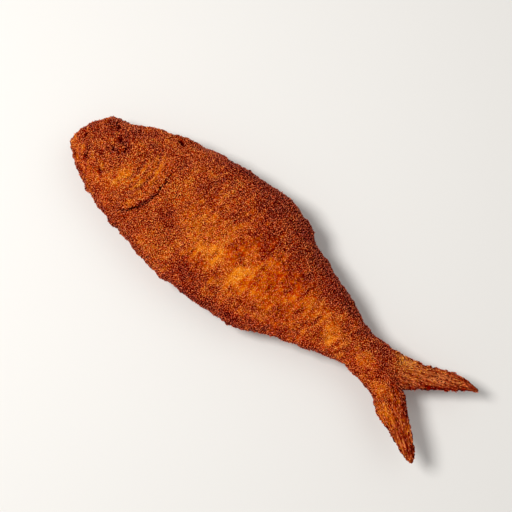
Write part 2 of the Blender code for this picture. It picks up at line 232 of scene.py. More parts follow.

# Where the crust fried lighter, below 0, or darker, above 0. The darker places along the back are
# partly painted shade, on the side turned from the light.
BROWNED_AND_SHADED_PLACES = [Place(*row) for row in (
    # The head.
    (4.5, -2.5, 5, 3, -0.18, -35),
    (7, 9, 3.5, 3, 0.24, 30),
    (13.5, 15, 4.5, 3, 0.28, 15),
    (14, -6.5, 3, 3, -0.08),
    (21, -12, 7, 2.8, -0.16, -25),
    (20.5, -0.5, 1.8, 3, 0.10),
    (22.5, 12.5, 4, 3.5, 0.10),
    (22.5, 5.5, 5, 3.5, 0.08),
    (24.5, 18.2, 5.2, 3.4, 0.22, 20),
    (24.5, -3, 2, 1.5, -0.12),
    (25.5, -15.5, 3.5, 1.5, 0.24, -20),
    (27, -7.5, 5.5, 3.5, -0.20, -20),
    (27.5, 1.5, 3, 2, 0.20),
    (28.5, 22.5, 4, 1.5, -0.14, 30),
    (29.5, -5.5, 1.5, 1.5, 0.28),
    (31, 12, 2.5, 6, -0.16),
    (32, 8, 2, 2, 0.12),
    (32, 22, 2.5, 3, 0.12),
    (32.8, -2, 4.3, 5.5, -0.40),
    (36, -12, 1.5, 4.5, -0.10),
    (36.8, 16.1, 3, 2.3, 0.18),
    (37, -5, 0.9, 4, 0.14),
    (38, -12, 2.5, 2.5, 0.12),
    (38.8, 0, 1, 7, -0.12),
    (40.8, -0.8, 2, 3.8, -0.22),
    (44, 24.5, 3, 2.5, 0.08),
    (43, -9.5, 5, 1.6, -0.22, 55),
    (44.5, 8.5, 4, 5.5, -0.16),
    (45, -7, 4, 2, 0.16),
    (47, 22.5, 8, 3, -0.10),
    (47.5, -1, 1.5, 2, -0.14),
    # The body, from the shoulder to where it is narrowest.
    (50.5, 28.5, 3, 1.5, 0.16),
    (51.5, 17.5, 4, 3.5, 0.12),
    (52.5, -23.5, 4, 1.5, 0.14, -10),
    (53, 5, 4, 6, -0.08),
    (56.5, 27.5, 2, 2.5, -0.12),
    (58.3, 14.5, 3, 5, -0.18),
    (60.5, -9.5, 2, 2.5, -0.12),
    (61, -16.5, 3, 3, -0.12, -40),
    (61.5, 8.5, 5, 4, -0.16, -30),
    (62, -4.5, 6.5, 5, 0.15),
    (63, -21, 10.5, 3.8, -0.18, -6),
    (63, -12, 4, 2.5, 0.12),
    (65, 21.5, 2.5, 2.5, -0.12),
    (65, 30, 6, 3, 0.12),
    (66, 14, 3.5, 3.5, 0.16),
    (68.2, -3.3, 2.8, 2.6, -0.20),
    (70, 22, 1.8, 5, 0.18),
    (71, -26, 4, 1.5, -0.16),
    (71.5, 11.5, 1.5, 2, -0.12),
    (75, 5, 6.5, 7.5, -0.21),
    (75.5, 18.5, 3, 5.5, -0.09, 20),
    (76, -13, 7, 3.5, -0.18),
    (77.5, -20.5, 3, 4, 0.20),
    (77.5, 27.5, 6, 2.7, -0.15),
    (78, 18.5, 1.3, 5, -0.12),
    (79, 9.5, 7, 3, 0.22, -10),
    (80, -7, 3, 2.5, -0.16),
    (80, 14.5, 1.8, 3.3, -0.26),
    (80, 23.5, 3, 2.5, 0.24),
    (82, 32, 22, 5, 0.16),
    (83, -22.3, 3.6, 1.5, -0.20),
    (84, -20.5, 10, 4, 0.20, -5),
    (81.5, 33.7, 17, 2.8, 0.36),
    (86.3, 6.2, 3, 4, -0.28),
    (86.5, -14, 2, 3, 0.22),
    (86.5, 22.5, 2, 3, -0.16),
    (87, 12, 3, 2, 0.16),
    (88.5, -6.2, 5.8, 4.8, -0.24),
    (89, -14, 1.5, 4, -0.20),
    (90.5, 12.5, 2.5, 6, -0.18),
    (91.5, -27.5, 9, 1.5, 0.40),
    (92, 25, 3.5, 3, 0.16),
    (93, -17, 2.5, 3, -0.20),
    (93.5, -11.5, 1.5, 2.5, 0.12),
    (94.5, -0.2, 2.6, 4, 0.24),
    (95.5, -21.6, 7.5, 1.9, -0.26),
    (96.5, 2.3, 1.8, 2.3, -0.18),
    (97, 8, 7, 2, -0.14),
    (99.5, 31, 2, 4, 0.20),
    (100, -24, 10, 3, 0.16, -10),
    (100.3, -2.3, 3, 2.3, 0.34),
    (99.5, 12.5, 3.5, 4, 0.08),
    (102, -6, 8, 4, -0.28, 70),
    (103.5, 4.5, 2, 4, -0.10, 10),
    (104, 29.5, 3, 2, -0.16),
    (106, 8.3, 3, 4.2, 0.28),
    (105, -5, 42, 11, -0.16),
    (106, -12.3, 5, 3.6, -0.20),
    (106, 33, 4, 2, -0.16, -15),
    (108, 21, 4, 6, -0.12, 20),
    (110, -23.5, 3.5, 2.5, 0.18, -10),
    (112, -14.5, 2.5, 2.5, 0.12),
    (112, 25, 20, 9, 0.22, -12),
    (112, 29.2, 5.5, 2.8, 0.34, -22),
    (112.5, 6, 6, 3, -0.20),
    (113, -20.5, 3, 1.5, -0.14, 20),
    (113, 12, 7, 1.8, -0.12),
    (115.3, 17, 2, 2.5, 0.16),
    (116, -9.5, 5, 3, -0.22),
    (117, -13, 4, 1.5, -0.14),
    (117.5, 7.5, 3.5, 3, 0.15),
    (118.5, -17, 7, 2, -0.24, 15),
    (119, -6.5, 4, 3, 0.18),
    (119, 21.5, 3, 2.5, -0.22),
    (120, 2, 4, 3, 0.14),
    (120, -20, 4, 2, 0.14, 20),
    (121, -15.5, 12, 3, 0.14, 8),
    (125, 3, 4, 2.5, 0.16),
    (126.7, -1.3, 2.8, 3.5, -0.24),
    (127, -14.5, 5, 2, -0.10, 10),
    (127, -9, 3.5, 3, 0.16),
    (128, 9, 2, 2.5, 0.12),
    (128.3, 21.6, 3.8, 2, 0.70, -25),
    (130, 2, 16, 6, -0.12),
    (132, 15, 3.5, 2.5, -0.14),
    (132.8, 4.4, 3, 2.6, 0.22),
    (133, 10, 1.5, 3.5, -0.12),
    (135, 19, 8, 2, 0.12, -25),
    (136.5, -6, 2.5, 6, -0.14),
    (138, 16, 20, 5, 0.26, -24),
    (140.5, 3, 2, 2.5, -0.12),
    (142, 10, 3.5, 1.5, -0.10, -20),
    (143, -7, 2, 2, -0.14),
    (144, 7.5, 1.8, 3.5, 0.18),
    (144, 15.7, 3.8, 2.3, 0.34, -20),
    (147, 5, 5, 4, -0.14),
    (148, -0.5, 4, 3, -0.18, 30),
    (152.5, -9, 2.5, 2, 0.12),
    (153.5, -4, 5, 4, -0.32),
    (153.7, 10.2, 4.5, 3.3, 0.20, -20),
    (154.3, 7.3, 4.5, 2.3, -0.28),
    (157.5, -1.5, 3, 2, 0.12, -20),
    (158, -8, 4, 2, -0.20, 15),
    (162.8, 8.3, 5, 1.9, 0.22, -12),
    (165.3, -6.5, 3.8, 2, 0.08),
    (168.5, -2.5, 5.5, 4, -0.28),
    # The tail.
    (174.5, 4.5, 5, 3.5, 0.28, -15),
    (175, -9.5, 4, 1.5, -0.16),
    (179, -4, 2, 5, 0.12),
    (182, 8.5, 3.5, 2, -0.14),
    (182.5, -11.5, 4, 2, -0.20, -25),
    (183.7, -7.5, 4.5, 3.8, -0.30, -25),
    (186.5, -5, 6, 3, 0.14, -20),
    (186.5, 7, 5, 3, -0.40, 10),
    (191, -1.2, 2, 1.6, -0.20),
    (192, -16, 6, 2.5, -0.14, -27),
    (195, 7.5, 4, 3, -0.12, 20),
    (197, -9.2, 4.5, 2, 0.56, -43),
    (201, -19.7, 4.5, 2, 0.24, -30),
    (201, 11.5, 6, 3, -0.18, 19),
    (203.4, -23.3, 7.5, 1.6, -0.30, -24),
    (203, 5.5, 14, 1.4, 0.30, 38),
    (204, -16.5, 3, 2, -0.28, -35),
    (210, -24, 3, 2.5, 0.36, -15),
    (211.5, 13, 4, 2, -0.16, 20),
    (214.5, 16.5, 3, 1.5, 0.24, 10),
)]

# Where the crust fried redder than elsewhere.
RED_PLACES = [Place(*row) for row in (
    (121, 5, 8, 6, 0.4),
    (150, -1, 10, 3, 0.3),
    (135, -8, 4, 4, 0.3),
    (15, -8, 9, 3, 0.3, -30),
    (137, -16, 10, 3, 0.5, 20),
    (80, -19, 8, 3, 0.4),
    (130, -17, 4, 3, 0.5),
    (127, -13, 4, 4, 0.3),
    (116, 26, 3, 3, 0.5),
    (196, 4, 4, 3, 0.5, 20),
    (187, -3, 3, 2.5, 0.5),
    (106, 8, 2, 4, 0.3),
    (111, -24, 8, 4, 0.8),
    (114, 27, 8, 4, 0.3, -20),
    (137, 15, 6, 5, 0.5, -20),
    (98, 15, 5, 7, 0.4),
    (150, 8, 8, 5, 0.3),
    (206, 11, 8, 4, 0.4, 19),
    (86, -26, 14, 4, 0.7),
    (147, -11.5, 8, 3, 0.6, 10),
    (165, -7, 9, 4, 0.6),
    (119, -19.5, 5, 3, 0.7),
    (19, 12, 9, 4, 0.3, 10),
    (76, 31, 18, 4, 0.3),
    (30, -15, 7, 5, 0.4, -20),
    (56, -20, 8, 3, 0.3),
    (6, 6, 5, 5, 0.15),
    (178, -5, 5, 6, 0.4),
)]

# Where the crust is gritty, with pale and dark grains side by side, or, below 0, smooth, with
# grains much like the batter that they lie in.
GRITTY_PLACES = [Place(*row) for row in (
    (121, 2, 13, 9, -1),
    (109, -9, 7, 7, -0.8),
    (127, -12, 6, 6, -0.7),
    (95, 0, 4.5, 6, -1),
    (103, 9, 7, 5, -0.6),
    (70, 11, 6, 6, -0.3),
    (84, -15, 10, 5, -0.35),
    (60, -5, 7, 3, -0.3),
    (48, 12, 3, 3, -0.5),
    (200, -18, 14, 6, -0.6, -40),
    (12, -10, 8, 4, -0.4, -35),
    (77, 28, 7, 8, 0.7),
    (46, 27, 6, 4, 0.6),
    (24, 5, 6, 5, 0.4),
    (107, 28, 10, 6, 0.5, -15),
    (56, 8, 6, 10, 0.4),
    (125, 18, 8, 4, 0.4, -25),
    (150, 11, 6, 4, 0.5, -20),
    (184, 8.5, 6, 3, 0.8),
    (204, 13, 10, 4, 0.5, 20),
    (60, -14, 9, 8, 0.4),
    (35, -4, 5, 6, 0.3),
    (24, 13, 14, 8, 0.35, 10),
    (94, -25, 12, 3, 0.4),
    (102, -7, 3, 3, 0.5),
)]

# A pit or, with a height above 0, a lump in the crust: its middle in the plan and how high
# that lies, its radius, and how far it stands out.
Lump = namedtuple("Lump", "x y z radius height")
LUMPS = [Lump(*row) for row in (
    (41.0, -21.3, 16.0, 1.8, 1.3),
    (38.2, -21.0, 15.0, 1.2, 0.8),
    (20.5, -16.3, 15.0, 1.0, 0.9),
    (10.8, -10.7, 16.0, 1.2, 0.5),
    (190.7, -0.6, 15.7, 1.6, 0.8),
    (187.6, -1.4, 16.0, 1.1, -1.0),
    (193.9, 0.3, 15.3, 0.9, -1.0),
)]

# A kind of semolina grain: the least distance between two, their width against the others,
# their length in widths, how high they lie over the crust and how far they tilt, the share
# of them that lies where the crust is golden, how much browner they are where it is gritty,
# their colours where it is golden, browned and scorched, and how they shine. Flakes stand up
# from the crust, pale grains lie on top of it, far apart, and dark ones lie between them. The
# flakes' and pale grains' pinkish colours are partly the semolina's own and partly painted
# highlight.
GrainKind = namedtuple(
    "GrainKind",
    "name spacing width length lift tilt in_gold in_grit golden browned scorched roughness shine",
)
GRAIN_KINDS = (
    GrainKind(
        "flakes", 1.60, 0.9, 3.4, 0.28, 1.1, 0.5, -0.15, "#FFB654", "#F68446", "#C05A3C", 0.35, 0.15,
    ),
    GrainKind(
        "pale", 0.80, 0.8, 2.6, 0.24, 0.6, 0.8, -0.15, "#FFB650", "#F68242", "#BC5438", 0.35, 0.15,
    ),
    GrainKind(
        "golden", 0.72, 0.85, 2.3, 0.20, 0.5, 1.0, -0.05, "#F49A24", "#C63B02", "#881A00", 0.40, 0.05,
    ),
    GrainKind(
        "brown", 0.705, 1.1, 2.0, 0.12, 0.4, 0.6, 0.2, "#E28008", "#780A00", "#400000", 0.40, 0.0,
    ),
    GrainKind(
        "dark", 0.70, 1.1, 1.8, 0.06, 0.4, 0.2, 0.35, "#D66E06", "#460000", "#1C0000", 0.50, 0.0,
    ),
)

# How brown the crust is where the grains have each of their three colours.
GOLDEN_AT, BROWNED_AT, SCORCHED_AT = 0.15, 0.5, 0.85

# How far one grain's shade strays from its place's, against how brown that is.
TONE_STRENGTH = 0.3

# The most grains that are tried on a square as wide as their spacing, and how narrow and how
# much longer or shorter than usual a grain can be.
TRIED_GRAINS = 4.0
NARROWEST = 0.7
LENGTH_SPREAD = 0.25

# How far, in radians, a grain on the tail turns out of the way of the rays.
TURN_ON_TAIL = 0.25

# What is left of red, green and blue where the crust is reddest.
REDDENING = (1.0, 0.65, 0.65, 1.0)

# The photograph's frame: the picture's right turns this far from the fish's length, and the
# middle of the picture falls on this place over the fish.
PICTURE_TURN = 37.1
PICTURE_CENTRE = (-8.07, 1.94, 14.0)
PICTURE_WIDTH = 235.5
CAMERA_TILT = 9.0
LENS = 85.0
SENSOR = 36.0


def linear(hex_colour):
    """An sRGB hex colour as linear red, green and blue."""
    values = [int(hex_colour[i : i + 2], 16) / 255 for i in (1, 3, 5)]
    return tuple(v / 12.92 if v <= 0.04045 else ((v + 0.055) / 1.055) ** 2.4 for v in values)


def deselect_all():
    if bpy.context.object and bpy.context.object.mode != "OBJECT":
        bpy.ops.object.mode_set(mode="OBJECT")
    bpy.ops.object.select_all(action="DESELECT")


def make_active(obj):
    deselect_all()
    obj.select_set(True)
    bpy.context.view_layer.objects.active = obj


def apply_modifier(obj, name, kind, **settings):
    """Adds a modifier with its settings and applies it."""
    make_active(obj)
    modifier = obj.modifiers.new(name, kind)
    for setting, value in settings.items():
        setattr(modifier, setting, value)
    bpy.ops.object.modifier_apply(modifier=modifier.name)


def add_node(tree, kind, inputs=None, stops=(), **settings):
    """Adds a node, sets it up, and gives its inputs a value or a link from another node.

    The stops are a colour ramp's places and colours.
    """
    node = tree.nodes.new(kind)
    for setting, value in settings.items():
        setattr(node, setting, value)
    for _ in stops[2:]:
        node.color_ramp.elements.new(0.5)
    for number, (position, colour) in enumerate(stops):
        node.color_ramp.elements[number].position = position
        node.color_ramp.elements[number].color = (*colour, 1.0)
    for name, value in (inputs or {}).items():
        if isinstance(name, str):
            socket = next(s for s in node.inputs if s.name == name and s.enabled)
        else:
            socket = node.inputs[name]
        if isinstance(value, bpy.types.NodeSocket):
            tree.links.new(value, socket)
        else:
            socket.default_value = value
    return node


def output_of(node, name):
    """The node's output of that name that is in use, for nodes with one for each kind of data."""
    return next(s for s in node.outputs if s.name == name and s.enabled)


def vertex_values(mesh, name, size):
    """A value of every vertex, such as its place, as an array."""
    values = np.empty(len(mesh.vertices) * size, np.float32)
    if name == "normal":
        mesh.vertex_normals.foreach_get("vector", values)
    else:
        mesh.vertices.foreach_get(name, values)
    return values.reshape(-1, size).astype(float) if size > 1 else values.astype(float)


def steepness(normals):
    """0 where the crust lies flat and 1 where it stands upright."""
    return 1.0 - np.abs(normals[:, 2])


def fish_plan(places):
    """Places in the frame as x and y in the fish's own plan, in millimetres."""
    return places[:, 0] / MM - SNOUT_X, places[:, 1] / MM - SPINE_Y


def smoothstep(low, high, values):
    t = np.clip((values - low) / (high - low), 0.0, 1.0)
    return t * t * (3.0 - 2.0 * t)


def between(rise, fall, values):
    """1 between two places, rising over the first pair of values and falling over the second."""
    return smoothstep(*rise, values) * (1.0 - smoothstep(*fall, values))


def noise_at(places, spacing, seed):
    """Smooth noise from -1 to 1 with lumps about spacing millimetres across."""
    shift = Vector((seed, -seed, seed))
    points = places / (MM * np.asarray(spacing))
    return np.array([noise.noise(Vector(point) + shift) for point in points])


def along_and_across(x, y, start, turn):
    """Distances along and across a line that leaves start at turn degrees."""
    cos, sin = math.cos(math.radians(turn)), math.sin(math.radians(turn))
    return (x - start[0]) * cos + (y - start[1]) * sin, (y - start[1]) * cos - (x - start[0]) * sin


def in_plan(along, across):
    """Two values of each vertex as vectors without a height."""
    return np.stack([along, across, np.zeros_like(along)], axis=1)


def streaks(x, y, kind):
    """Noise from -1 to 1 drawn out into streaks."""
    lines = in_plan(*along_and_across(x, y, (0.0, 0.0), kind.turn)) * MM
    return noise_at(lines, (kind.length, kind.width, 1.0), kind.seed)


def bare_fin(x, y):
    """1 on the upper lobe past the crust's end, less on the lower lobe's end, 0 on the body."""
    along, across = along_and_across(x, y, CRUST_END, CRUST_END_TURN)
    ragged = along + CRUST_END_WAVER * np.sin(CRUST_END_WAVES * across)
    upper = smoothstep(*UPPER_FIN_EDGE, y)
    lower = LOWER_BARENESS * smoothstep(*LOWER_CRUST_THINS, x) * (1.0 - upper)
    return smoothstep(-CRUST_END_BLEND, CRUST_END_BLEND, ragged) * upper + lower


def tail(x):
    """0 on the body and 1 on the lobes."""
    return smoothstep(*TAIL_START, x)


def upper_lobe(y):
    """0 below the place where the lobes part and 1 above it."""
    return smoothstep(-1.0, 1.0, y - LOBES_PART[1])


def ray_places(x, y):
    """Distances along and across the fin rays of the two lobes, in millimetres."""
    upper = along_and_across(x, y, LOBES_PART, UPPER_RAYS_TURN)
    reach_x, reach_y = x - LOWER_RAYS_MEET[0], y - LOWER_RAYS_MEET[1]
    apart = np.hypot(reach_x, reach_y)
    lower = -apart, LOWER_RAYS_APART_AT * np.arctan2(reach_y, -reach_x)
    share = upper_lobe(y)
    return tuple(share * up + (1.0 - share) * low for up, low in zip(upper, lower))


def ray_ways(x, y):
    """The way that the rays run at each place, as vectors one unit long."""
    reach_x, reach_y = LOWER_RAYS_MEET[0] - x, LOWER_RAYS_MEET[1] - y
    apart = np.hypot(reach_x, reach_y)
    upper = upper_lobe(y)
    turn = math.radians(UPPER_RAYS_TURN)
    way_x = upper * math.cos(turn) + (1.0 - upper) * reach_x / apart
    way_y = upper * math.sin(turn) + (1.0 - upper) * reach_y / apart
    return in_plan(way_x, way_y)


def fin_rays(x, y):
    """1 on the rays of the two lobes and -1 between them."""
    lines = in_plan(*ray_places(x, y)) * MM
    return tail(x) * noise_at(lines, (RAY_LENGTH, RAY_SPACING, 1.0), RAY_SEED)


def gill_line(x, y):
    """Distance outside the gill slit, and half the slit's width, which is 0 past its ends."""
    distance = np.hypot(x - GILL_CENTRE[0], y - GILL_CENTRE[1])
    turn = np.degrees(np.arctan2(y - GILL_CENTRE[1], x - GILL_CENTRE[0]))
    turns, reaches, half_widths = zip(*GILL_SLIT)
    waver = GILL_WAVER * np.sin(np.radians(turn) * GILL_WAVES)
    return distance - np.interp(turn, turns, reaches) - waver, np.interp(turn, turns, half_widths)


def gill_slit(x, y):
    """1 in the middle of the gill slit, falling to 0 at its sides and past its ends."""
    outside, half_width = gill_line(x, y)
    across = np.exp(-((outside / np.maximum(half_width, GILL_NARROWEST)) ** 2))
    return across * smoothstep(0.0, GILL_FADES_AT, half_width)


def cheek_folds(x, y):
    """Folds of the gill cover that follow its slit: 1 on their ridges and -1 between them."""
    outside, _ = gill_line(x, y)
    turn = np.degrees(np.arctan2(y - GILL_CENTRE[1], x - GILL_CENTRE[0]))
    shown = between(*CHEEK_FOLD_BAND, outside) * between(*CHEEK_FOLD_ARC, turn)
    return shown * np.cos(math.tau * (outside + CHEEK_FOLD_SHIFT) / CHEEK_FOLD_SPACING)


def near_line(x, y, start, end, width):
    """1 on the line between two places, falling to 0 beside it."""
    run = Vector(end) - Vector(start)
    share = ((x - start[0]) * run.x + (y - start[1]) * run.y) / run.length_squared
    share = np.clip(share, 0.0, 1.0)
    apart = np.hypot(x - start[0] - share * run.x, y - start[1] - share * run.y)
    return np.exp(-((apart / width) ** 2))


def near_place(x, y, place, width):
    """1 at a place, falling to 0 round it."""
    return np.exp(-((x - place[0]) ** 2 + (y - place[1]) ** 2) / width**2)


def cracks(x, y):
    """1 in the cracks of the crust, falling to 0 beside them."""
    lines = [near_line(x, y, crack.start, crack.end, crack.width) for crack in CRACKS]
    return np.max(lines, axis=0)


def eye_ring(x, y):
    """1 on the sunken ring round the eye, falling to 0 beside it."""
    from_eye = np.hypot(x - EYE_CENTRE[0], y - EYE_CENTRE[1])
    return np.exp(-(((from_eye - EYE_RING_RADIUS) / EYE_RING_WIDTH) ** 2))


def details(x, y, mouth_width):
    """Each detail of the head and the tail, with 1 where it is and 0 beside it."""
    return (
        (GILL_SLIT_DETAIL, gill_slit(x, y)),
        (CHEEK_FOLD_DETAIL, cheek_folds(x, y)),
        (EYE_RING_DETAIL, eye_ring(x, y)),
        (MOUTH_DETAIL, near_line(x, y, SNOUT_TIP, MOUTH_CORNER, mouth_width)),
        (CRACK_DETAIL, cracks(x, y)),
        (FIN_RAY_DETAIL, fin_rays(x, y)),
    )


def lump_heights(places):
    """How far the lumps and the pits of the crust stand out, in millimetres."""
    x, y = fish_plan(places)
    heights = np.zeros(len(x))
    for lump in LUMPS:
        apart = (x - lump.x) ** 2 + (y - lump.y) ** 2 + (places[:, 2] / MM - lump.z) ** 2
        heights += lump.height * np.exp(-apart / lump.radius**2)
    return heights


def oval(x, y, place):
    """1 in the middle of an oval place, falling to 0 round it."""
    along, across = along_and_across(x, y, (place.x, place.y), place.turn)
    return np.exp(-((along / place.length) ** 2) - (across / place.width) ** 2)


def amount_at(x, y, places):
    """What the oval places add up to."""
    return sum(place.amount * oval(x, y, place) for place in places)


def redness_of(x, y):
    """How red the crust fried, from 0 to 1."""
    return np.clip(amount_at(x, y, RED_PLACES), 0.0, 1.0)


def grit_of(x, y):
    """How gritty the crust is, from -1 where it is smooth to 1."""
    return np.clip(amount_at(x, y, GRITTY_PLACES), -1.0, 1.0)


def browning_and_shade_of(places, normals, rises):
    """How brown the crust fried, with painted shade and painted light added, from 0 for pale gold to
    1 for nearly black.
    """
    x, y = fish_plan(places)
    browning = USUAL_BROWNING + PLACES_SHARE * amount_at(x, y, BROWNED_AND_SHADED_PLACES)
    # Painted shade on the steep edges.
    browning += STEEP_SHADE * smoothstep(*SHADE_STEEPNESS, steepness(normals))
    browning += sum(amount * noise_at(places, *noise) for amount, *noise in MOTTLING)
    # Clumps are lighter with painted light and hollows darker with painted shade; the clumps also
    # stood clear of the oil, and the hollows kept it, which turned them a darker red.
    browning -= CLUMP_LIGHT_AND_HOLLOW_SHADE * rises
    face = 1.0 - smoothstep(*FACE_END, x)
    browning += FACE_STREAKS.amount * face * streaks(x, y, FACE_STREAKS)
    browning += FLANK_STREAKS.amount * between(*FLANK, x) * streaks(x, y, FLANK_STREAKS)
    # Painted shade in the gill slit, the eye's ring, the mouth and the cracks, and painted light on
    # the cheek's folds and the fin rays with painted shade between them.
    found = details(x, y, MOUTH_SHADE_WIDTH)
    browning += sum(detail.browning * share for detail, share in found)
    # Lumps are browner, and pits darker with painted shade.
    browning += LUMP_BROWNING_AND_PIT_SHADE * np.abs(lump_heights(places))
    return np.clip(browning, 0.0, 1.0)


def coating_of(places):
    """How thickly the grains lie, from 0 for bare skin to 1."""
    x, y = fish_plan(places)
    coating = 1.0 - MISSING_IN_CRACKS * np.maximum(gill_slit(x, y), cracks(x, y))
    coating *= 1.0 - MISSING_ON_TAIL_END * smoothstep(*TAIL_END, x)
    coating *= 1.0 - MISSING_WHERE_SMOOTH * np.maximum(-grit_of(x, y), 0.0)
    return coating * (1.0 - MISSING_ON_BARE_FIN * bare_fin(x, y))


def fine_relief(places, normals):
    """Heights in millimetres of the head's and the tail's details over the crust."""
    x, y = fish_plan(places)
    outside, half_width = gill_line(x, y)
    lip = between(*GILL_LIP_BAND, outside) * smoothstep(0.0, GILL_LIP_FADES_AT, half_width)
    heights = GILL_LIP_HEIGHT * lip + EYE_HEIGHT * near_place(x, y, EYE_CENTRE, EYE_RADIUS)
    heights += sum(detail.height * share for detail, share in details(x, y, MOUTH_WIDTH))
    heights += lump_heights(places)
    # The bare fin lies lower than the crust, and all edges but the lower lobe's are ragged.
    steep = steepness(normals)
    heights -= BARE_FIN_DEPTH * bare_fin(x, y) * (1.0 - steep)
    edge = smoothstep(*RAG_STEEPNESS, steep) * (1.0 - tail(x) * (1.0 - upper_lobe(y)))
    rags = noise_at(places, RAG_SPACING, RAG_SEED)
    return heights + (TAIL_RAGS * tail(x) + EDGE_RAGS * edge) * rags


def solid_copy(name):
    """The CAD solid's mesh as a new piece, with its loose triangles joined up."""
    deselect_all()
    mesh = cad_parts[SOLID].data.copy()
    mesh.name = name
    mesh.materials.clear()
    piece = bpy.data.objects.new(name, mesh)
    bpy.context.scene.collection.objects.link(piece)
    make_active(piece)
    bpy.ops.object.mode_set(mode="EDIT")
    bpy.ops.mesh.select_all(action="SELECT")
    bpy.ops.mesh.remove_doubles(threshold=0.00001)
    bpy.ops.object.mode_set(mode="OBJECT")
    return piece


def store_values(mesh, name, values):
    """Keeps a value or a vector of each vertex, for the materials and the grains to read."""
    if values.ndim == 1:
        attribute = mesh.attributes.new(name, "FLOAT", "POINT")
        attribute.data.foreach_set("value", values.astype(np.float32))
    else:
        attribute = mesh.attributes.new(name, "FLOAT_VECTOR", "POINT")
        attribute.data.foreach_set("vector", values.astype(np.float32).ravel())


def clouds(name, spacing):
    """Cloudy noise for a Displace modifier, with lumps so far apart."""
    texture = bpy.data.textures.new(name, "CLOUDS")
    texture.noise_scale = spacing
    texture.noise_depth = 2
    return texture


class CrustSettings(bpy.types.PropertyGroup):
    """Sizes and colours of the crust that the grains lie on."""

    mesh_size: FloatProperty(
        name="Mesh Size", description="Width of a face of the crust",
        default=0.6 * MM, unit="LENGTH", precision=5,
    )
    smoothing: IntProperty(
        name="Smoothing", description="Passes that take the solid's facets off", default=7,
    )
    crag_spacing: FloatProperty(
        name="Crag Spacing", description="Distance between crags",
        default=3.6 * MM, unit="LENGTH", precision=5,
    )
    crag_height: FloatProperty(
        name="Crag Height", description="Height of the crags on the steep edges",
        default=1.0 * MM, unit="LENGTH", precision=5,
    )
    clump_spacing: FloatProperty(
        name="Clump Spacing", description="Distance between clumps of grains",
        default=1.3 * MM, unit="LENGTH", precision=5,
    )
    clump_height: FloatProperty(
        name="Clump Height", description="Height of the clumps on the steep edges",
        default=1.2 * MM, unit="LENGTH", precision=5,
    )
    golden: FloatVectorProperty(
        name="Golden", description="Crust that fried lightly", subtype="COLOR",
        size=3, default=linear("#EC901A"),
    )
    orange: FloatVectorProperty(
        name="Orange", description="Crust on most of the flank", subtype="COLOR",
        size=3, default=linear("#B83600"),
    )
    browned: FloatVectorProperty(
        name="Browned", description="Crust that fried well", subtype="COLOR",
        size=3, default=linear("#740600"),
    )
    # The darkest colour shows in folds and along the edges where painted shade darkens the crust.
    darkest: FloatVectorProperty(
        name="Darkest", description="Crust in folds and along the edges", subtype="COLOR",
        size=3, default=linear("#300000"),
    )
    fin_light: FloatVectorProperty(
        name="Light Fin", description="The bare fin's lightest rays", subtype="COLOR",
        size=3, default=linear("#D07C46"),
    )
    fin_brown: FloatVectorProperty(
        name="Brown Fin", description="Most of the bare fin", subtype="COLOR",
        size=3, default=linear("#98421C"),
    )


class GrainSettings(bpy.types.PropertyGroup):
    """Sizes of the semolina grains."""

    radius: FloatProperty(
        name="Radius", description="Half the width of a middling grain",
        default=0.28 * MM, unit="LENGTH", precision=5,
    )
    roughness: FloatProperty(
        name="Angularity", description="How far a grain's corners stray",
        default=0.07 * MM, unit="LENGTH", precision=5,
    )
    seed: IntProperty(name="Seed", description="Start of every random draw", default=4)


class StageSettings(bpy.types.PropertyGroup):
    """The floor, the lights and the camera."""

    floor_size: FloatProperty(
        name="Floor Size", description="Width of the floor", default=4.0, unit="LENGTH",
    )
    floor_colour: FloatVectorProperty(
        name="Floor", description="Colour of the floor", subtype="COLOR",
        size=3, default=linear("#E4E1DC"),
    )
    key_power: FloatProperty(
        name="Key Light", description="Power of the large light on the left",
        default=5.55, unit="POWER",
    )
    fill_power: FloatProperty(
        name="Fill Light", description="Power of the weak light on the right",
        default=1.2, unit="POWER",
    )
    room_light: FloatProperty(
        name="Room Light", description="Strength of the light from all around", default=0.35,
    )


